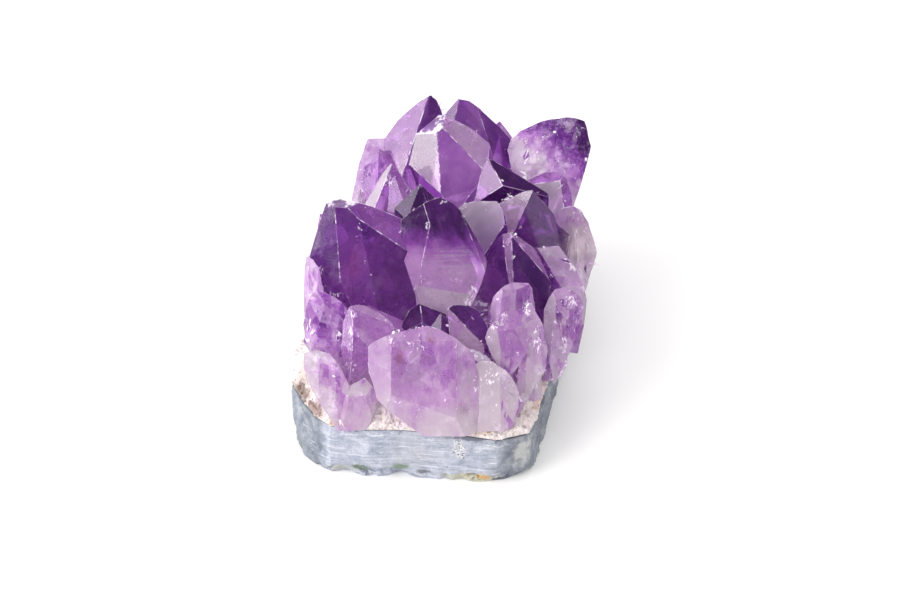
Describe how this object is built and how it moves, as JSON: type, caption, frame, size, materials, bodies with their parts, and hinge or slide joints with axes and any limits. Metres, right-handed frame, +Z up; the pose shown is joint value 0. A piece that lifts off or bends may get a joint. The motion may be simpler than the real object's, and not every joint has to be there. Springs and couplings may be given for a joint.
{
  "type": "amethyst cluster",
  "caption": "Hand-sized amethyst cluster: purple six-sided quartz points on a cream quartz crust over a blue-grey rock slab with a flat sawn front and a flat underside",
  "frame": {"origin": "middle of the bounding box in plan, at the height of the flat underside that the piece stands on", "axes": "+Z up; +Y along the long axis toward the back; the sawn front face looks toward -Y; +X to the right seen from the front"},
  "size_m": [0.0778, 0.1136, 0.0632],
  "materials": {
    "host_rock": "dull blue-grey fine-grained rock, sawn on the front face and broken on the others, with a cream and greenish rim at the foot",
    "quartz_crust": "rough cream-white fine quartz with brown and orange iron stains and dark specks",
    "amethyst": "clear to cloudy purple quartz, dark at the points and pale lilac toward the root, glossy natural faces"
  },
  "bodies": {
    "root": {"host_rock": "host_rock", "quartz_crust": "quartz_crust", "amethyst_crystals": "amethyst"}
  },
  "joints": []
}
